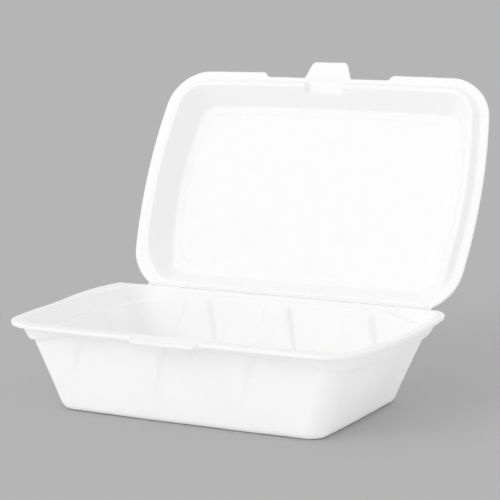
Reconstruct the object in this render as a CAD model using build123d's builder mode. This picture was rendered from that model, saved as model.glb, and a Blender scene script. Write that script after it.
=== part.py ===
# Hinged foam takeaway box: a deep ribbed tray and a shallow lid, pressed from one foam
# sheet and joined along a creased hinge at the back. Millimetres, +Z up. The origin is
# the middle of the tray's underside, the front faces -Y and the hinge runs along X.
import os
from math import hypot

from build123d import *

# Sheet and clearances
foam = 2.4  # pressed thickness of the tray
lid_foam = 2.0  # pressed thickness of the lid
part_gap = 0.3  # between the two flanges when the box is shut, and across the crease
nest_gap = 0.8  # between the tray's shoulder and the lid's ridge
lid_open = 115  # degrees from shut

# Tray rim, sizes at the middle of each side
rim_width = 240
rim_depth = 161  # before the hinge line trims the back
front_corner = 28
back_corner = 20
least_corner = 8  # of the outlines inside the rim
side_bow = 7.5  # how far a short side stands out past its corners
front_bow = 1.2
side_flange = 4.7
front_flange = 8.4
back_flange = 5.5  # before the trim
hinge_trim = 4

# Tray section
tray_height = 55
shoulder_run = 4
shoulder_drop = 4.6
ledge = 3.5
floor_width = 171  # inside the tray
floor_depth = 113
floor_corner = 10
floor_bow = 1
floor_round = 5  # inside, where the walls meet the floor

# Ribs pressed into the tray walls
rib_depth = 2.6  # at the top; a rib runs out towards the floor
rib_foot_depth = 0.4
rib_slope = 40  # flank angle, degrees
long_rib_pitch = 57
long_rib_top = 15
long_rib_foot = 38
side_rib_pitch = 76
side_rib_top = 20
side_rib_foot = 30
rib_top_margin = 4.2  # below the ledge
rib_foot_margin = 6  # above the floor

# Catch lip on the tray's front edge
lip_width = 48
lip_reach = 4.5
lip_taper = 2.5
lip_round = 1.5

# Lid
lid_setback = 3.2  # of the front edge, from the tray's
hinge_strip = 3.5  # flat beside the crease
ridge_run = 4
ridge_drop = 3
ridge_crest = 1.8
ridge_end = 20  # from the crease to where the ridge has run out
ridge_fade = 10
dome_run = 9.6
dome_height = 12  # flange to panel, inside
panel_round = 3
panel_border = 5.5
panel_step = 0.8

# Front notch and lock tab of the lid
notch_width = 93
notch_depth = 3.5
notch_taper = 3
tab_root = 33
tab_tip = 24
tab_reach = 11.5  # beyond the notch
tab_round = 2
channel_width = 25
channel_reach = 16  # across the ridge

# Small rounds on the pressed edges
edge_round = 0.8
bend_round = 1.5
crest_round = 0.8
pick_band = 0.1  # half height of the band that picks out a ring of edges

# Worked-out places
rim_front = -rim_depth / 2
opening_x = rim_width / 2 - side_flange  # of the tray's opening, from its middle
opening_front = rim_depth / 2 - front_flange
opening_back = rim_depth / 2 - back_flange
hinge_y = rim_depth / 2 - hinge_trim
hinge_z = tray_height + part_gap / 2
ledge_inset = shoulder_run + ledge
ledge_z = tray_height - shoulder_drop
hinge = Pos(0, hinge_y, hinge_z)
lid_swing = hinge * Rot(X=-lid_open) * hinge.inverse()  # from shut to open
hinge_cut = Plane.XZ.offset(part_gap / 2 - hinge_y)


class BowedRectangle(BaseSketchObject):
    # Rounded rectangle whose sides bulge: width, front and back are taken at the bulges.
    def __init__(
        self, width, front, back, front_corner, back_corner, side_bow, front_bow, mode=Mode.ADD
    ):
        x = width / 2
        corners = [
            (x - side_bow, front + front_bow),
            (x - side_bow, back - front_bow),
            (-x + side_bow, back - front_bow),
            (-x + side_bow, front + front_bow),
        ]
        middle_y = (front + back) / 2
        middles = [(x, middle_y), (0, back), (-x, middle_y), (0, front)]
        with BuildSketch() as shape:
            with BuildLine():
                for i, middle in enumerate(middles):
                    ThreePointArc(corners[i], middle, corners[(i + 1) % 4])
            make_face()
            fillet(shape.vertices().group_by(Axis.Y)[0], front_corner)
            fillet(shape.vertices().group_by(Axis.Y)[-1], back_corner)
        super().__init__(obj=shape.sketch, rotation=0, align=None, mode=mode)


def edge_outline(front):
    # Outer edge of a flange, which reaches past the hinge line until it is trimmed.
    return BowedRectangle(
        rim_width, front, rim_depth / 2, front_corner, back_corner, side_bow, front_bow
    )


def opening_outline(inset, back=opening_back):
    # The tray's opening, moved in by the same distance all round.
    return BowedRectangle(
        2 * (opening_x - inset),
        inset - opening_front,
        back - inset,
        max(front_corner - side_flange - inset, least_corner),
        max(back_corner - side_flange - inset, least_corner),
        side_bow,
        front_bow,
    )


# Tray

wall_drop = ledge_z - foam
side_slope = (opening_x - ledge_inset - floor_width / 2) / wall_drop
front_slope = (opening_front - ledge_inset - floor_depth / 2) / wall_drop
back_slope = (opening_back - ledge_inset - floor_depth / 2) / wall_drop
shoulder_slope = shoulder_run / shoulder_drop


def wall_inset(slope, height, sheet):
    # How far inside the opening a wall stands at a height, on its inside face or a sheet outside it.
    return ledge_inset + (ledge_z - height) * slope - sheet * hypot(1, slope)


def wall_blend(at_ledge, at_floor, height):
    return at_ledge + (at_floor - at_ledge) * (ledge_z - height) / wall_drop


def wall_corner(rim_corner, height):
    ledge_corner = max(rim_corner - side_flange - ledge_inset, least_corner)
    return wall_blend(ledge_corner, floor_corner, height)


def wall_outline(height, sheet):
    return BowedRectangle(
        2 * (opening_x - wall_inset(side_slope, height, sheet)),
        wall_inset(front_slope, height, sheet) - opening_front,
        opening_back - wall_inset(back_slope, height, sheet),
        wall_corner(front_corner, height) + sheet,
        wall_corner(back_corner, height) + sheet,
        wall_blend(side_bow, floor_bow, height),
        wall_blend(front_bow, floor_bow, height),
    )


def shoulder_outline(height, sheet):
    run = (tray_height - height) * shoulder_slope
    return opening_outline(run - sheet * hypot(1, shoulder_slope))


rib_top_z = ledge_z - rib_top_margin
rib_foot_z = foam + rib_foot_margin


class RibFace(BaseSketchObject):
    # Flat front of a rib, wide at its foot, drawn up from the middle of the foot.
    def __init__(self, foot, top, rise, mode=Mode.ADD):
        with BuildSketch() as shape:
            with BuildLine():
                Polyline((-foot / 2, 0), (foot / 2, 0), (top / 2, rise), (-top / 2, rise), close=True)
            make_face()
        super().__init__(obj=shape.sketch, rotation=0, align=None, mode=mode)


long_places = (-long_rib_pitch, 0, long_rib_pitch)
side_places = (-side_rib_pitch / 2, side_rib_pitch / 2)
long_ribs = (long_places, rim_width / 2, front_bow, long_rib_foot, long_rib_top)
side_ribs = (side_places, rim_depth / 2, side_bow, side_rib_foot, side_rib_top)
ribbed_walls = [
    (0, opening_back, back_slope, *long_ribs),
    (90, opening_x, side_slope, *side_ribs),
    (180, opening_front, front_slope, *long_ribs),
    (270, opening_x, side_slope, *side_ribs),
]


def wall_ribs(sheet):
    # Wedges that press the ribs inwards, on the inside face or one sheet outside it. Each is set
    # out on the back wall and turned to its own wall.
    rib_rise = rib_top_z - rib_foot_z
    with BuildPart() as ribs:
        for turn, opening, slope, places, half_length, bow, foot_width, top_width in ribbed_walls:
            top_bow = wall_blend(bow, floor_bow, rib_top_z)
            foot_bow = wall_blend(bow, floor_bow, rib_foot_z)
            for along in places:
                bulge_share = (along / half_length) ** 2
                top = opening - wall_inset(slope, rib_top_z, 0) - top_bow * bulge_share - rib_depth
                foot = opening - wall_inset(slope, rib_foot_z, 0) - foot_bow * bulge_share - rib_foot_depth
                bend = (top_bow + foot_bow) * along / half_length**2
                face = Plane(
                    origin=(along, foot, rib_foot_z),
                    x_dir=(-1, bend, 0),
                    z_dir=(bend * rib_rise, rib_rise, foot - top),
                )
                with BuildSketch(Rot(Z=turn) * face.offset(sheet).location):
                    RibFace(foot_width, top_width, hypot(rib_rise, top - foot))
                extrude(amount=rib_depth + foam, taper=-rib_slope)
    return ribs.part


inner_ribs = wall_ribs(0)
outer_ribs = wall_ribs(foam)

with BuildPart() as tray_hollow:
    with BuildSketch(Plane.XY.offset(tray_height)):
        shoulder_outline(tray_height, 0)
    with BuildSketch(Plane.XY.offset(ledge_z)):
        shoulder_outline(ledge_z, 0)
    loft(ruled=True)
    with BuildSketch(Plane.XY.offset(ledge_z)):
        wall_outline(ledge_z, 0)
    with BuildSketch(Plane.XY.offset(foam)):
        wall_outline(foam, 0)
    loft(ruled=True)
    ledge_ring = tray_hollow.edges().filter_by_position(Axis.Z, ledge_z - pick_band, ledge_z + pick_band)
    fillet(ledge_ring, bend_round)
    fillet(tray_hollow.edges().group_by(Axis.Z)[0], floor_round)
    add(inner_ribs, mode=Mode.SUBTRACT)

with BuildPart() as tray:
    with BuildSketch(Plane.XY.offset(ledge_z)):
        wall_outline(ledge_z, foam)
    with BuildSketch(Plane.XY):
        wall_outline(0, foam)
    loft(ruled=True)
    fillet(tray.edges().group_by(Axis.Z)[0], floor_round + foam)
    add(outer_ribs, mode=Mode.SUBTRACT)
    with BuildSketch(Plane.XY.offset(tray_height)):
        shoulder_outline(tray_height, foam)
    with BuildSketch(Plane.XY.offset(ledge_z - foam)):
        shoulder_outline(ledge_z - foam, foam)
    loft(ruled=True)
    with BuildSketch(Plane.XY.offset(tray_height - foam)):
        edge_outline(rim_front)
    extrude(amount=foam)
    fillet(tray.edges().group_by(Axis.Z)[-1], edge_round)
    add(tray_hollow.part, mode=Mode.SUBTRACT)
    fillet(tray.edges().group_by(Axis.Z)[-1].group_by(SortBy.LENGTH)[0], edge_round)
    split(bisect_by=hinge_cut, keep=Keep.TOP)
    with BuildSketch(Plane.XY.offset(tray_height - foam)) as lip_shape:
        with BuildLine():
            Polyline(
                (-lip_width / 2, rim_front + front_flange),
                (-lip_width / 2, rim_front),
                (-lip_width / 2 + lip_taper, rim_front - lip_reach),
                (lip_width / 2 - lip_taper, rim_front - lip_reach),
                (lip_width / 2, rim_front),
                (lip_width / 2, rim_front + front_flange),
                close=True,
            )
        make_face()
        fillet(lip_shape.vertices().group_by(Axis.Y)[0], lip_round)
    extrude(amount=foam)

# Lid, drawn as if shut, on planes that the opening angle swings about the crease

ridge_slope = ridge_run / ridge_drop
crest_inset = nest_gap + ridge_run + ridge_crest
dome_slope = dome_run / (dome_height + ridge_drop)
dome_back = hinge_y - hinge_strip + crest_inset + ridge_drop * dome_slope
lid_front = rim_front + lid_setback
notch_edge = lid_front + notch_depth
ridge_end_y = hinge_y - ridge_end


def lid_level(height):
    # Plane at a height above the underside of the lid's flange.
    return Plane(lid_swing * Plane.XY.offset(tray_height + part_gap + height).location)


lid_section = Plane(lid_swing * (Pos(0, 0, tray_height + part_gap) * Plane.YZ.location))
lid_axis = Axis(lid_level(0).origin, lid_level(0).z_dir)


def flank_inset(height, sheet):
    # Outer flank of the ridge, on its underside or a sheet above it.
    return nest_gap - height * ridge_slope + sheet * hypot(1, ridge_slope)


def dome_inset(height, sheet):
    return crest_inset + (height + ridge_drop) * dome_slope - sheet * hypot(1, dome_slope)


def dome_outline(height, sheet):
    return opening_outline(dome_inset(height, sheet), dome_back)


panel_inset = dome_inset(dome_height, 0) + panel_border

with BuildPart() as lid_hollow:
    with BuildSketch(lid_level(-ridge_drop)):
        dome_outline(-ridge_drop, 0)
    with BuildSketch(lid_level(dome_height)):
        dome_outline(dome_height, 0)
    loft(ruled=True)
    fillet(lid_hollow.edges().group_by(lid_axis)[-1], panel_round)
    with BuildSketch(lid_level(dome_height)):
        opening_outline(panel_inset, dome_back)
    extrude(amount=panel_step)

with BuildPart() as lid:
    with BuildSketch(lid_level(0)):
        edge_outline(lid_front)
    extrude(amount=lid_foam)
    fillet(lid.edges().group_by(lid_axis)[0] + lid.edges().group_by(lid_axis)[-1], edge_round)
    with BuildSketch(lid_level(lid_foam)):
        opening_outline(flank_inset(lid_foam, 0))
    with BuildSketch(lid_level(-ridge_drop)):
        opening_outline(flank_inset(-ridge_drop, 0))
    loft(ruled=True)
    with BuildSketch(lid_level(lid_foam)):
        opening_outline(flank_inset(lid_foam, lid_foam))
    with BuildSketch(lid_level(0)):
        opening_outline(flank_inset(0, lid_foam))
    loft(ruled=True, mode=Mode.SUBTRACT)
    with BuildSketch(lid_level(-lid_foam / 2)):
        dome_outline(-lid_foam / 2, lid_foam)
    with BuildSketch(lid_level(dome_height + lid_foam)):
        dome_outline(dome_height + lid_foam, lid_foam)
    loft(ruled=True)
    fillet(lid.edges().group_by(lid_axis)[-1], panel_round + lid_foam)
    with BuildSketch(lid_level(dome_height + lid_foam)):
        opening_outline(panel_inset - lid_foam / 2, dome_back)
    extrude(amount=panel_step)
    with BuildSketch(lid_level(0)):
        opening_outline(0)
        with Locations((0, ridge_end_y - ridge_fade)):
            Rectangle(rim_width, rim_depth, align=(Align.CENTER, Align.MIN), mode=Mode.INTERSECT)
    extrude(amount=lid_foam)
    add(lid_hollow.part, mode=Mode.SUBTRACT)
    with BuildSketch(lid_section):
        with BuildLine():
            Polyline(
                (ridge_end_y - ridge_fade, -ridge_drop),
                (ridge_end_y, 0),
                (rim_depth / 2, 0),
                (rim_depth / 2, -ridge_drop),
                close=True,
            )
        make_face()
    extrude(amount=rim_width / 2, both=True, mode=Mode.SUBTRACT)
    fillet(lid.edges().group_by(lid_axis)[0], crest_round)
    split(bisect_by=Plane(lid_swing * hinge_cut.location), keep=Keep.TOP)
    with BuildSketch(lid_level(0)):
        with BuildLine():
            Polyline(
                (-notch_width / 2, lid_front - notch_taper),
                (-notch_width / 2, lid_front),
                (-notch_width / 2 + notch_taper, notch_edge),
                (notch_width / 2 - notch_taper, notch_edge),
                (notch_width / 2, lid_front),
                (notch_width / 2, lid_front - notch_taper),
                close=True,
            )
        make_face()
    extrude(amount=lid_foam, mode=Mode.SUBTRACT)
    with BuildSketch(lid_section):
        with BuildLine():
            Polyline(
                (flank_inset(lid_foam, lid_foam / 2) - opening_front, lid_foam),
                (flank_inset(0, lid_foam / 2) - opening_front, -lid_foam / 2),
                (dome_inset(0, lid_foam / 2) - opening_front, -lid_foam / 2),
                (dome_inset(lid_foam, lid_foam / 2) - opening_front, lid_foam),
                close=True,
            )
        make_face()
    extrude(amount=channel_width / 2 + lid_foam, both=True)
    with BuildSketch(lid_section):
        with Locations((crest_inset - opening_front, 0)):
            Rectangle(channel_reach, 2 * ridge_drop, align=(Align.CENTER, Align.MAX))
    extrude(amount=channel_width / 2, both=True, mode=Mode.SUBTRACT)
    with BuildSketch(lid_level(0)) as tab_shape:
        with BuildLine():
            Polyline(
                (-tab_root / 2, notch_edge + lid_foam / 2),
                (-tab_root / 2, notch_edge),
                (-tab_tip / 2, notch_edge - tab_reach),
                (tab_tip / 2, notch_edge - tab_reach),
                (tab_root / 2, notch_edge),
                (tab_root / 2, notch_edge + lid_foam / 2),
                close=True,
            )
        make_face()
        fillet(tab_shape.vertices().group_by(Axis.Y)[0], tab_round)
    extrude(amount=lid_foam)

os.makedirs("parts", exist_ok=True)
tray.part.label = "tray"
export_step(tray.part, "parts/tray.step")
lid.part.label = "lid"
export_step(lid.part, "parts/lid.step")
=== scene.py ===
from math import ceil, cos, hypot, pi, radians, sin, tan

import bmesh
import bpy
from mathutils import Matrix, Vector, noise


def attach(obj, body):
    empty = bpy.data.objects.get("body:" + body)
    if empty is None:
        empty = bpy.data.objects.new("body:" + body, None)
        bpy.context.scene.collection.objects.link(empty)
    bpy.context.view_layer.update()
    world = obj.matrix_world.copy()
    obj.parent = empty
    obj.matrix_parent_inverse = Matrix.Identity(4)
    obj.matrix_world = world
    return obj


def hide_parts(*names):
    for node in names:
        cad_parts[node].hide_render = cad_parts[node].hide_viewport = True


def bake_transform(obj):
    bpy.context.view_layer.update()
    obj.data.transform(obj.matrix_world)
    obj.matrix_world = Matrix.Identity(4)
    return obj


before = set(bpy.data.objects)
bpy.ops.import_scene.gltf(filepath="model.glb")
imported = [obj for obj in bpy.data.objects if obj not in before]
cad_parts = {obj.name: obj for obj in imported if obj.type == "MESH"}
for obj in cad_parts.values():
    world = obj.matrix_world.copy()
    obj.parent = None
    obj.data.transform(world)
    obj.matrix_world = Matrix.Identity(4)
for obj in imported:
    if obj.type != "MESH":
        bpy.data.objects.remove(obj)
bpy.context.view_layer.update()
mm = 0.001
print("frame loaded:", ", ".join(sorted(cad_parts)))

# rim and hinge, shared by tray and lid, in millimetres
rim = {
    "x": 120, "front": -80.5, "back": 80.5,  # at the middle of each side
    "corner": 26, "leastCorner": 8, "sharpCorner": 0.4,
    "sideBow": 7.5, "frontBow": 1.2,
    "sideFlange": 4.7, "frontFlange": 8.4, "backFlange": 5.5,
    "hingeY": 76.5, "hingeZ": 55.15, "gap": 0.3, "groove": 0.5,
    "open": 115,  # lid swing from shut
}
openX = rim["x"] - rim["sideFlange"]
openFront = rim["front"] + rim["frontFlange"]
openBack = rim["back"] - rim["backFlange"]
hingeEdge = rim["hingeY"] - rim["gap"] / 2
# mesh of the shells
around = {"step": 1.15, "fine": 0.6, "fineHalf": 24, "cornerSteps": 30, "smallest": 4, "smoothAngle": 60}
flange = {"edgeRun": 1.2, "openingRun": 1.6, "fullWidth": 4}  # stretches of a flange that keep their section


# steps along a side, finer about the middle of the front
def sideMarks(flat, fineHalf):
    marks, x = [], 0.0
    while x < flat - 0.4 * around["step"]:
        marks.append(x)
        x += around["fine"] if x < fineHalf else around["step"]
    marks.append(flat)
    return [-m / flat for m in reversed(marks[1:])] + [m / flat for m in marks]


frontMarks = sideMarks(rim["x"] - rim["sideBow"] - rim["corner"], around["fineHalf"])
endMarks = sideMarks(rim["back"] - rim["frontBow"] - rim["corner"], 0)
cornerTurns = [pi / 2 * (i + 1) / (around["cornerSteps"] + 1) for i in range(around["cornerSteps"])]


# one ring round the box: a rounded rectangle with bowed sides
def ringOutline(halfX, front, back, frontCorner, backCorner, sideBow, frontBow):
    x, y, middle = halfX - sideBow, (back - front) / 2 - frontBow, (front + back) / 2
    frontCorner, backCorner = min(frontCorner, 0.9 * y), min(backCorner, 0.9 * y)
    low, high = -y + frontCorner, y - backCorner
    right = [(x - frontCorner * (1 - sin(a)), low - frontCorner * cos(a)) for a in cornerTurns]
    right += [(x, low + (high - low) * (m + 1) / 2) for m in endMarks]
    right += [(x - backCorner * (1 - cos(a)), high + backCorner * sin(a)) for a in cornerTurns]
    ring = [(m * (x - frontCorner), -y) for m in frontMarks] + right
    ring += [(-m * (x - backCorner), y) for m in frontMarks] + [(-px, py) for px, py in reversed(right)]
    return [
        (px + px / x * sideBow * (1 - (py / y) ** 2), middle + py + py / y * frontBow * (1 - (px / x) ** 2))
        for px, py in ring
    ]


# the opening inside the rim's flange, moved in; corners are those of the rim, front and back
def openingRing(inset, back, corners):
    inner = [max(c - rim["sideFlange"] - inset, rim["leastCorner"]) for c in corners]
    return ringOutline(openX - inset, openFront + inset, back, *inner, rim["sideBow"], rim["frontBow"])


# outer edge of a flange, cut off along the crease
def edgeRing(front, corners):
    ring = ringOutline(rim["x"], front, rim["back"], *corners, rim["sideBow"], rim["frontBow"])
    return [(x, min(y, hingeEdge)) for x, y in ring]


# a place on a flange, between its edge and the opening
def flangePlace(edge, opening, inset):
    width = hypot(opening[0] - edge[0], opening[1] - edge[1])
    ease = min(width / flange["fullWidth"], 1)
    nearEdge, nearOpening = flange["edgeRun"] - rim["sideFlange"], -flange["openingRun"]
    if inset <= nearEdge:
        reach = (inset + rim["sideFlange"]) * ease
    elif inset >= nearOpening:
        reach = width + inset * ease
    else:
        share = (inset - nearEdge) / (nearOpening - nearEdge)
        reach = flange["edgeRun"] * ease + (width - (flange["edgeRun"] + flange["openingRun"]) * ease) * share
    share = reach / width
    return edge[0] + (opening[0] - edge[0]) * share, edge[1] + (opening[1] - edge[1]) * share


# a section's corners, rounded, with its straight runs cut into steps
def roundedSection(corners, step):
    points = [corners[0][:2]]
    for i in range(1, len(corners)):
        here = Vector(corners[i][:2])
        arc = [here]
        if i < len(corners) - 1 and corners[i][2] > 0:
            back = Vector(corners[i - 1][:2]) - here
            on = Vector(corners[i + 1][:2]) - here
            turn = pi - back.angle(on)
            reach = min(corners[i][2] * tan(turn / 2), 0.46 * back.length, 0.46 * on.length)
            radius = reach / tan(turn / 2)
            middle = here + (back.normalized() + on.normalized()).normalized() * (radius / cos(turn / 2))
            first = here + back.normalized() * reach - middle
            side = 1 if back.x * on.y - back.y * on.x < 0 else -1
            count = max(2, ceil(turn / radians(16)))
            arc = [middle + Matrix.Rotation(side * turn * k / count, 2) @ first for k in range(count + 1)]
        start = Vector(points[-1])
        run = arc[0] - start
        cuts = max(1, ceil(run.length / step))
        points += [tuple(start + run * k / cuts) for k in range(1, cuts)]
        points += [tuple(p) for p in arc]
    return points


def softMin(a, b, width):
    share = min(max(0.5 + 0.5 * (b - a) / width, 0), 1)
    return b + (a - b) * share - width * share * (1 - share)


def smooth(low, high, value):
    share = min(max((value - low) / (high - low), 0), 1)
    return share * share * (3 - 2 * share)


# a shell pulled ring by ring out of a filled circle, and closed by its last face
def pullShell(name, rings):
    bpy.ops.object.select_all(action="DESELECT")
    bpy.ops.mesh.primitive_circle_add(vertices=len(rings[0]), radius=rim["x"] * mm, fill_type="NGON")
    shell = bpy.context.object
    shell.name = shell.data.name = name
    bpy.ops.object.mode_set(mode="EDIT")
    bm = bmesh.from_edit_mesh(shell.data)
    place = bm.verts.layers.int.new("place")
    bm.verts.ensure_lookup_table()
    for i, v in enumerate(bm.verts):
        v[place] = i
        v.co = rings[0][i]
    bpy.ops.mesh.select_all(action="SELECT")
    for ring in rings[1:]:
        bpy.ops.mesh.extrude_region()
        bm = bmesh.from_edit_mesh(shell.data)
        place = bm.verts.layers.int["place"]
        for v in bm.verts:
            if v.select:
                v.co = ring[v[place]]
    bmesh.update_edit_mesh(shell.data)
    bpy.ops.mesh.select_all(action="SELECT")
    bpy.ops.mesh.normals_make_consistent(inside=False)
    bpy.ops.object.mode_set(mode="OBJECT")
    shell.data.attributes.remove(shell.data.attributes["place"])
    bpy.ops.object.shade_smooth_by_angle(angle=radians(around["smoothAngle"]))
    return shell


# slow waves and fine unevenness of pressed foam, along the normals
def unevenFoam(piece, waves):
    normals = [v.normal.copy() for v in piece.data.vertices]
    for v, n in zip(piece.data.vertices, normals):
        push = sum(size * noise.noise(v.co / mm / length) for length, size in waves)
        v.co += n * push * mm


# tray
tray = {
    "foam": 2.4, "height": 55, "step": 2.4, "corners": (20, 20),
    "creaseCorner": 6, "ear": 9, "earX": (85, 112), "earY": (-20, 60), "grooveRun": 1.6,
    "shoulderRun": 4, "shoulderDrop": 4.6, "ledge": 3.5,
    "endDip": 5, "endX": (70, 106), "backRise": 2.2, "backY": (44, 66),
    "floorX": 86.5, "floorY": 56.5, "floorCorner": 8.5, "floorBow": 1, "floorRound": 5, "footRound": 5.5,
    "bendRound": 1.5, "edgeRound": 0.9,
    "longRibs": (-57, 0, 57), "longTop": 15, "longFoot": 38,
    "endRibs": (-38, 38), "endTop": 20, "endFoot": 30,
    "ribTopSlope": 50, "ribTopMargin": 4.2, "ribFootMargin": 6,
    "wallFoot": 1, "wallHead": 0.2, "wallInset": 3,  # where the walls take ribs
    "ribsInside": {"depth": 3.4, "footDepth": 0.8, "slope": 58, "soft": 0.4},
    "ribsOutside": {"depth": 2.5, "footDepth": -1.2, "slope": 38, "soft": 1.6},
    "lipHalf": 23, "lipReach": 3.4, "lipTaper": 3.5, "lipDroop": 2.2, "lipUnder": 0.9,
    "waves": ((34, 0.1), (9, 0.03)),
}
foam, trayTop = tray["foam"], tray["height"]
ledgeInset = tray["shoulderRun"] + tray["ledge"]
ledgeZ = trayTop - tray["shoulderDrop"]
wallDrop = ledgeZ - foam
sideRun = openX - ledgeInset - tray["floorX"]
frontRun = -openFront - ledgeInset - tray["floorY"]
backRun = openBack - ledgeInset - tray["floorY"]
ribTopZ = ledgeZ - tray["ribTopMargin"]
ribFootZ = foam + tray["ribFootMargin"]
longRibs = {
    "length": rim["x"], "bow": rim["frontBow"],
    "ribs": tray["longRibs"], "top": tray["longTop"], "foot": tray["longFoot"],
}
endRibs = {
    "length": rim["back"], "bow": rim["sideBow"],
    "ribs": tray["endRibs"], "top": tray["endTop"], "foot": tray["endFoot"],
}
frontWall = {"open": -openFront, "run": frontRun, **longRibs}
backWall = {"open": openBack, "run": backRun, **longRibs}
endWall = {"open": openX, "run": sideRun, **endRibs}


# how far out a wall may stand beside its ribs
def ribLimit(wall, along, z, sheet, ribs):
    share = min(max((z - ribFootZ) / (ribTopZ - ribFootZ), 0), 1)
    depth = ribs["footDepth"] + (ribs["depth"] - ribs["footDepth"]) * share
    halfWidth = (wall["foot"] + (wall["top"] - wall["foot"]) * share) / 2
    drop = (ledgeZ - z) / wallDrop
    bow = wall["bow"] + (tray["floorBow"] - wall["bow"]) * drop
    out = wall["open"] - ledgeInset - wall["run"] * drop + sheet * hypot(1, wall["run"] / wallDrop) - depth
    limits = []
    for centre in wall["ribs"]:
        aside = max(abs(along - centre) - halfWidth, 0) + max(ribFootZ - z, 0)
        rise = aside * tan(radians(ribs["slope"])) + max(z - ribTopZ, 0) * tan(radians(tray["ribTopSlope"]))
        limits.append(out - bow * (along / wall["length"]) ** 2 + rise)
    return min(limits)


# the tray's edge, with its catch lip and the squarer corner at one end of the crease
trayOpening = openingRing(0, openBack, tray["corners"])
leftEdge = edgeRing(rim["front"], (tray["corners"][0], tray["creaseCorner"]))
rightEdge = edgeRing(rim["front"], tray["corners"])
trayEdge = []
for left, right in zip(leftEdge, rightEdge):
    x, y = left if left[0] < 0 else right
    lip = smooth(tray["lipHalf"], tray["lipHalf"] - tray["lipTaper"], abs(x)) if y < 0 else 0
    ear = tray["ear"] * smooth(*tray["earY"], y) * smooth(*tray["earX"], -x)
    trayEdge.append((x - ear, y - tray["lipReach"] * lip, lip))


# the ledge lies lower along the ends and higher by the crease
def ledgeDip(x, y, z):
    level = min((trayTop - z) / tray["shoulderDrop"], (z - foam) / wallDrop)
    atEnd = smooth(*tray["endX"], abs(x))
    dip = tray["endDip"] * atEnd - tray["backRise"] * smooth(*tray["backY"], y) * (1 - atEnd)
    return dip * min(max(level, 0), 1)


# inset is from the opening, negative on the flange; sheet is nought inside and the foam's thickness outside
def trayRing(inset, z, sheet):
    points = []
    if inset < 0:
        for opening, (x, y, lip) in zip(trayOpening, trayEdge):
            x, y = flangePlace((x, y), opening, inset)
            droop = lip * (tray["lipUnder"] if sheet else tray["lipDroop"])
            crease = 0 if sheet else rim["groove"] * smooth(hingeEdge - tray["grooveRun"], hingeEdge, y)
            points.append(Vector((x, y, z + droop * inset / rim["sideFlange"] - crease)) * mm)
        return points
    drop = min(max((ledgeZ - z) / wallDrop, 0), 1)
    out = ledgeInset + frontRun * drop - inset
    corners = []
    for corner in tray["corners"]:
        corner = max(corner - rim["sideFlange"] - ledgeInset, rim["leastCorner"])
        corners.append(max(corner + (tray["floorCorner"] - corner) * drop + out, rim["sharpCorner"]))
    ring = ringOutline(
        openX - inset - (sideRun - frontRun) * drop,
        openFront + inset,
        openBack - inset - (backRun - frontRun) * drop,
        *corners,
        rim["sideBow"] + (tray["floorBow"] - rim["sideBow"]) * drop,
        rim["frontBow"] + (tray["floorBow"] - rim["frontBow"]) * drop,
    )
    onWall = foam + tray["wallFoot"] < z < ledgeZ + tray["wallHead"] and inset > ledgeInset - tray["wallInset"]
    ribs = tray["ribsOutside"] if sheet else tray["ribsInside"]
    for x, y in ring:
        if onWall:
            longWall = backWall if y > 0 else frontWall
            y = softMin(abs(y), ribLimit(longWall, x, z, sheet, ribs), ribs["soft"]) * (1 if y > 0 else -1)
            x = softMin(abs(x), ribLimit(endWall, y, z, sheet, ribs), ribs["soft"]) * (1 if x > 0 else -1)
        points.append(Vector((x, y, z - ledgeDip(x, y, z + sheet))) * mm)
    return points


shoulderSlope = tray["shoulderRun"] / tray["shoulderDrop"]
frontSlope = frontRun / wallDrop
underShoulder = -foam * hypot(1, shoulderSlope)
underWall = ledgeInset - foam * hypot(1, frontSlope)
trayMiddle = -openFront - around["smallest"]
innerSection = roundedSection(
    [
        (trayMiddle, foam, 0),
        (ledgeInset + frontRun, foam, tray["floorRound"]),
        (ledgeInset, ledgeZ, tray["bendRound"]),
        (ledgeInset - tray["ledge"], ledgeZ, tray["bendRound"]),
        (0, trayTop, tray["edgeRound"]),
        (-rim["sideFlange"], trayTop, tray["edgeRound"]),
        (-rim["sideFlange"], trayTop - foam / 2, 0),
    ],
    tray["step"],
)
outerSection = roundedSection(
    [
        (-rim["sideFlange"], trayTop - foam / 2, 0),
        (-rim["sideFlange"], trayTop - foam, tray["edgeRound"]),
        (underShoulder + foam * shoulderSlope, trayTop - foam, tray["bendRound"]),
        (underShoulder + (tray["shoulderDrop"] + foam) * shoulderSlope, ledgeZ - foam, tray["bendRound"]),
        (underWall + foam * frontSlope, ledgeZ - foam, tray["bendRound"]),
        (underWall + ledgeZ * frontSlope, 0, tray["footRound"]),
        (trayMiddle, 0, 0),
    ],
    tray["step"],
)
trayRings = [trayRing(t, z, 0) for t, z in innerSection]
trayRings += [trayRing(t, z, foam) for t, z in outerSection[1:]]
foamTray = pullShell("foamTray", trayRings)
unevenFoam(foamTray, tray["waves"])
print("tray:", len(foamTray.data.polygons), "faces")

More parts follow.
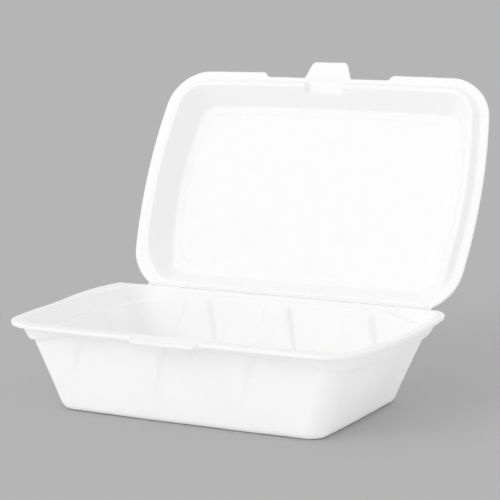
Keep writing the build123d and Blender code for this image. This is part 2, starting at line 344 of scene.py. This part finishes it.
# lid, made as if shut and then swung open
lid = {
    "foam": 2.0, "step": 2.2, "front": -77.3, "corners": (24, 27),
    "hingeStrip": 3, "hingeSlope": 1.3, "grooveRun": 2,
    "nestGap": 0.8, "ridgeRun": 3, "ridgeDrop": 4.2, "ridgeCrest": 2.4, "ridgeEnd": 10, "ridgeFade": 22,
    "domeRun": 9.3, "domeHeight": 12, "panelRound": 1.8, "panelBorder": 5.5, "panelStep": 0.5,
    "stepHalf": 0.6, "stepRound": 1.2, "outerStepRun": 0.8, "outerStepRound": 0.6,
    "bendRound": 1.2, "crestRound": 0.9, "edgeRound": 0.8, "grooveRound": 0.5,
    "notchHalf": 46.5, "notchDepth": 3.5, "notchTaper": 3,
    "tabRootHalf": 16.5, "tabTipHalf": 12, "tabReach": 11.5, "tabRound": 2,
    "tabEase": (0.3, 0.35),  # rounding of the tip across and along, as shares of tabRound
    "channelHalf": 12, "cheek": 1.8, "channelTilt": 0.8,
    "channelStart": -1, "channelHold": 1, "channelEnd": 4, "channelSoft": 2,
    "waves": ((40, 0.1), (9, 0.03)),
}
skin = lid["foam"]
crestInset = lid["nestGap"] + lid["ridgeRun"] + lid["ridgeCrest"]
flankSlope = lid["ridgeRun"] / lid["ridgeDrop"]
domeSlope = lid["domeRun"] / (lid["domeHeight"] + lid["ridgeDrop"])
domeBack = rim["hingeY"] - lid["hingeStrip"] + crestInset + lid["ridgeDrop"] * domeSlope
ridgeEndY = rim["hingeY"] - lid["ridgeEnd"]


def flankInset(height, sheet):
    return lid["nestGap"] - height * flankSlope + sheet * hypot(1, flankSlope)


def domeInset(height, sheet):
    return crestInset + (height + lid["ridgeDrop"]) * domeSlope - sheet * hypot(1, domeSlope)


notchY = lid["front"] + lid["notchDepth"]
tabSide = hypot(lid["tabReach"], lid["tabRootHalf"] - lid["tabTipHalf"])
tabPath = tabSide + lid["tabTipHalf"]  # from the root to the middle of the tip


# front edge of the lid: notch and lock tab
def frontEdge(x, y):
    side = 1 if x > 0 else -1
    if y > 0 or abs(x) >= lid["notchHalf"]:
        return x, y
    if abs(x) > lid["tabRootHalf"]:
        share = min((lid["notchHalf"] - abs(x)) / lid["notchTaper"], 1)
        return x, y + (notchY - y) * share
    along = abs(x) / lid["tabRootHalf"] * tabPath
    if along <= lid["tabTipHalf"]:
        tip = max(along - lid["tabTipHalf"] + lid["tabRound"], 0) / lid["tabRound"]
        return side * along, notchY - lid["tabReach"] + lid["tabEase"][1] * lid["tabRound"] * tip ** 2
    share = (along - lid["tabTipHalf"]) / tabSide
    ease = max(1 - share * tabSide / lid["tabRound"], 0)
    across, back = [e * lid["tabRound"] * ease ** 2 for e in lid["tabEase"]]
    halfWidth = lid["tabTipHalf"] + (lid["tabRootHalf"] - lid["tabTipHalf"]) * share - across
    return side * halfWidth, notchY - lid["tabReach"] * (1 - share) + back


hingePoint = Vector((0, rim["hingeY"], rim["hingeZ"])) * mm
lidTurn = Matrix.Rotation(radians(-rim["open"]), 4, "X")
lidSwing = Matrix.Translation(hingePoint) @ lidTurn @ Matrix.Translation(-hingePoint)
lidEdge = [frontEdge(x, y) for x, y in edgeRing(lid["front"], lid["corners"])]
lidOpening = openingRing(0, openBack, lid["corners"])


# flat is the level of the flange's own face, foot the inset where the dome leaves it by the crease
def lidRing(inset, height, flat, foot):
    if inset < 0:
        ring = [flangePlace(e, o, inset) for e, o in zip(lidEdge, lidOpening)]
    elif inset < foot:
        ring = openingRing(inset, openBack + (domeBack - foot - openBack) * inset / foot, lid["corners"])
    else:
        ring = openingRing(inset, domeBack - foot - (inset - foot) * lid["hingeSlope"], lid["corners"])
    points = []
    for x, y in ring:
        h = height
        if inset < 0 and flat == 0:
            h += rim["groove"] * smooth(hingeEdge - lid["grooveRun"], hingeEdge, y)
        elif h < flat:
            h += (flat - h) * smooth(ridgeEndY - lid["ridgeFade"], ridgeEndY, y)
        if y < 0 and 0 < inset < foot + lid["channelEnd"]:
            floorH = flat + lid["channelTilt"] * smooth(lid["channelStart"], foot, inset)
            floorH = -softMin(-h, -floorH, lid["channelSoft"])
            floorH += (h - floorH) * smooth(foot + lid["channelHold"], foot + lid["channelEnd"], inset)
            h += (floorH - h) * (1 - smooth(lid["channelHalf"], lid["channelHalf"] + lid["cheek"], abs(x)))
        points.append(lidSwing @ (Vector((x, y, rim["hingeZ"] + rim["gap"] / 2 + h)) * mm))
    return points


panelInset = domeInset(lid["domeHeight"], 0)
panelEdge = panelInset + lid["panelBorder"]
outerTop = lid["domeHeight"] + skin
lidMiddle = (domeBack - openFront) / (1 + lid["hingeSlope"]) - around["smallest"]
lidInner = roundedSection(
    [
        (lidMiddle, lid["domeHeight"] + lid["panelStep"], 0),
        (panelEdge + lid["stepHalf"], lid["domeHeight"] + lid["panelStep"], lid["stepRound"]),
        (panelEdge - lid["stepHalf"], lid["domeHeight"], lid["stepRound"]),
        (panelInset, lid["domeHeight"], lid["panelRound"]),
        (crestInset, -lid["ridgeDrop"], lid["crestRound"]),
        (crestInset - lid["ridgeCrest"], -lid["ridgeDrop"], lid["crestRound"]),
        (lid["nestGap"], 0, lid["bendRound"]),
        (-rim["sideFlange"], 0, lid["edgeRound"]),
        (-rim["sideFlange"], skin / 2, 0),
    ],
    lid["step"],
)
lidOuter = roundedSection(
    [
        (-rim["sideFlange"], skin / 2, 0),
        (-rim["sideFlange"], skin, lid["edgeRound"]),
        (flankInset(skin, skin), skin, lid["grooveRound"]),
        (flankInset(0, skin), 0, lid["grooveRound"]),
        (domeInset(0, skin), 0, lid["grooveRound"]),
        (domeInset(outerTop, skin), outerTop, lid["panelRound"] + skin),
        (panelEdge - lid["stepHalf"] - lid["outerStepRun"], outerTop, lid["outerStepRound"]),
        (panelEdge - lid["stepHalf"], outerTop + lid["panelStep"], lid["outerStepRound"]),
        (lidMiddle, outerTop + lid["panelStep"], 0),
    ],
    lid["step"],
)
lidRings = [lidRing(t, h, 0, domeInset(0, 0)) for t, h in lidInner]
lidRings += [lidRing(t, h, skin, domeInset(skin, skin)) for t, h in lidOuter[1:]]
foamLid = pullShell("foamLid", lidRings)
unevenFoam(foamLid, lid["waves"])
print("lid:", len(foamLid.data.polygons), "faces")

# thin, beaded web of foam left in the crease
web = {
    "half": 101, "inside": 0.7, "top": 0.2, "thick": 0.75, "proud": 0.2,
    "across": 10, "along": 200, "beads": 0.35, "beadLength": 4, "smoothAngle": 50,
}
bpy.ops.object.select_all(action="DESELECT")
bpy.ops.mesh.primitive_grid_add(x_subdivisions=web["along"], y_subdivisions=web["across"], size=2)
creaseWeb = bpy.context.object
creaseWeb.name = creaseWeb.data.name = "creaseWeb"
swing = radians(rim["open"])
webStart = Vector((0, -web["inside"], -web["top"]))
webEnd = Vector((
    0,
    web["inside"] * cos(pi - swing) + web["top"] * sin(swing),
    web["inside"] * sin(swing) + web["top"] * cos(swing),
))
for v in creaseWeb.data.vertices:
    at = webStart.lerp(webEnd, (v.co.y + 1) / 2)
    bead = web["beads"] * noise.noise(v.co * web["half"] / web["beadLength"]) * (1 - v.co.y ** 2)
    at += Vector((0, webStart.z - webEnd.z, webEnd.y - webStart.y)).normalized() * bead
    v.co = hingePoint + Vector((v.co.x * web["half"], at.y, at.z)) * mm
thicken = creaseWeb.modifiers.new("webThickness", "SOLIDIFY")
thicken.thickness = web["thick"] * mm
thicken.offset = web["proud"]
bpy.ops.object.modifier_apply(modifier="webThickness")
bpy.ops.object.shade_smooth_by_angle(angle=radians(web["smoothAngle"]))
print("crease web:", len(creaseWeb.data.polygons), "faces")

# white foam with a fine pebbled skin
foamLook = {
    "pale": (0.955, 0.955, 0.953, 1), "dull": (0.942, 0.943, 0.941, 1),
    "bead": 620, "mottle": 95, "mottleDetail": 5, "mottleSpan": (0.3, 0.55), "rough": (0.52, 0.66),
    "specular": 0.3, "subsurface": 0.2, "radius": (0.004, 0.004, 0.004),
    "beadBump": (0.18, 0.0004), "skinBump": (0.05, 0.0005),  # strength, depth in metres
}


def foamMaterial(name):
    material = bpy.data.materials.new(name)
    material.use_nodes = True
    nodes, links = material.node_tree.nodes, material.node_tree.links
    shader = nodes["Principled BSDF"]
    shader.inputs["Specular IOR Level"].default_value = foamLook["specular"]
    shader.inputs["Subsurface Weight"].default_value = foamLook["subsurface"]
    shader.inputs["Subsurface Radius"].default_value = foamLook["radius"]
    place = nodes.new("ShaderNodeTexCoord")
    mottle = nodes.new("ShaderNodeTexNoise")
    mottle.inputs["Scale"].default_value = foamLook["mottle"]
    mottle.inputs["Detail"].default_value = foamLook["mottleDetail"]
    links.new(place.outputs["Object"], mottle.inputs["Vector"])
    tint = nodes.new("ShaderNodeValToRGB")
    for stop, at, shade in zip(tint.color_ramp.elements, foamLook["mottleSpan"], (foamLook["dull"], foamLook["pale"])):
        stop.position, stop.color = at, shade
    links.new(mottle.outputs["Fac"], tint.inputs["Fac"])
    links.new(tint.outputs["Color"], shader.inputs["Base Color"])
    sheen = nodes.new("ShaderNodeMapRange")
    sheen.inputs["To Min"].default_value, sheen.inputs["To Max"].default_value = foamLook["rough"]
    links.new(mottle.outputs["Fac"], sheen.inputs["Value"])
    links.new(sheen.outputs["Result"], shader.inputs["Roughness"])
    beads = nodes.new("ShaderNodeTexVoronoi")
    beads.feature = "SMOOTH_F1"
    beads.inputs["Scale"].default_value = foamLook["bead"]
    links.new(place.outputs["Object"], beads.inputs["Vector"])
    beadBump = nodes.new("ShaderNodeBump")
    beadBump.inputs["Strength"].default_value, beadBump.inputs["Distance"].default_value = foamLook["beadBump"]
    beadBump.invert = True
    links.new(beads.outputs["Distance"], beadBump.inputs["Height"])
    skinBump = nodes.new("ShaderNodeBump")
    skinBump.inputs["Strength"].default_value, skinBump.inputs["Distance"].default_value = foamLook["skinBump"]
    links.new(mottle.outputs["Fac"], skinBump.inputs["Height"])
    links.new(beadBump.outputs["Normal"], skinBump.inputs["Normal"])
    links.new(skinBump.outputs["Normal"], shader.inputs["Normal"])
    return material


foamSkin = foamMaterial("foamSkin")
for piece in (foamTray, foamLid, creaseWeb):
    piece.data.materials.clear()
    piece.data.materials.append(foamSkin)
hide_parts("tray")
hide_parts("lid")
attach(foamTray, "tray")
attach(foamLid, "lid")
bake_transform(creaseWeb)
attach(creaseWeb, "tray")
print("materials and bodies set")

# floor, light and camera
studio = {
    "grey": (0.462, 0.462, 0.462, 1), "floorSize": 30, "floorRough": 0.9,
    "floorSeen": (0.477, 0.477, 0.477, 1), "floorLit": (0.92, 0.92, 0.92, 1),
    "world": 0.89, "sun": 0.54, "sunSoft": 40, "sunTurn": (62, 0, -30),
}


# one for rays that show a surface, nought for rays that only carry its light
def seenRay(tree):
    path = tree.nodes.new("ShaderNodeLightPath")
    total = path.outputs["Is Camera Ray"]
    for name in ("Is Glossy Ray", "Is Transmission Ray"):
        joined = tree.nodes.new("ShaderNodeMath")
        joined.operation = "MAXIMUM"
        tree.links.new(total, joined.inputs[0])
        tree.links.new(path.outputs[name], joined.inputs[1])
        total = joined.outputs["Value"]
    return total


bpy.ops.object.select_all(action="DESELECT")
bpy.ops.mesh.primitive_plane_add(size=studio["floorSize"])
floor = bpy.context.object
floor.name = "studioFloor"
paint = bpy.data.materials.new("floorGrey")
paint.use_nodes = True
nodes, links = paint.node_tree.nodes, paint.node_tree.links
nodes["Principled BSDF"].inputs["Roughness"].default_value = studio["floorRough"]
nodes["Principled BSDF"].inputs["Specular IOR Level"].default_value = 0
floorTint = nodes.new("ShaderNodeMix")
floorTint.data_type = "RGBA"
floorTint.inputs[6].default_value, floorTint.inputs[7].default_value = studio["floorLit"], studio["floorSeen"]
links.new(seenRay(paint.node_tree), floorTint.inputs["Factor"])
links.new(floorTint.outputs[2], nodes["Principled BSDF"].inputs["Base Color"])
floor.data.materials.append(paint)

world = bpy.data.worlds.new("studioWorld")
bpy.context.scene.world = world
world.use_nodes = True
nodes, links = world.node_tree.nodes, world.node_tree.links
nodes.clear()
light = nodes.new("ShaderNodeBackground")
light.inputs["Color"].default_value = (1, 1, 1, 1)
light.inputs["Strength"].default_value = studio["world"]
backdrop = nodes.new("ShaderNodeBackground")
backdrop.inputs["Color"].default_value = studio["grey"]
mix = nodes.new("ShaderNodeMixShader")
out = nodes.new("ShaderNodeOutputWorld")
links.new(seenRay(world.node_tree), mix.inputs["Fac"])
links.new(light.outputs["Background"], mix.inputs[1])
links.new(backdrop.outputs["Background"], mix.inputs[2])
links.new(mix.outputs["Shader"], out.inputs["Surface"])

bpy.ops.object.light_add(type="SUN", rotation=[radians(a) for a in studio["sunTurn"]])
sun = bpy.context.object
sun.name = "windowLight"
sun.data.energy = studio["sun"]
sun.data.angle = radians(studio["sunSoft"])

view = {
    "turn": 26.853, "height": 10.264, "roll": 0.033, "far": 1143, "target": (0, 36.5, 60),
    "yaw": 0.201, "pitch": -1.516, "focal": 1832.2, "pixels": 500,  # focal length in pixels of that width
    "sensor": 36, "clip": (0.05, 100),
}
turn, rise = radians(view["turn"]), radians(view["height"])
back = Vector((sin(turn) * cos(rise), -cos(turn) * cos(rise), sin(rise)))
bpy.ops.object.camera_add(location=(Vector(view["target"]) + view["far"] * back) * mm)
camera = bpy.context.object
turn, rise = radians(view["turn"] + view["yaw"]), radians(view["height"] + view["pitch"])
camera.rotation_euler = (pi / 2 - rise, radians(view["roll"]), turn)
camera.data.sensor_width = view["sensor"]
camera.data.lens = view["focal"] / view["pixels"] * view["sensor"]
camera.data.clip_start, camera.data.clip_end = view["clip"]
bpy.context.scene.camera = camera
bpy.context.scene.view_settings.view_transform = "Standard"
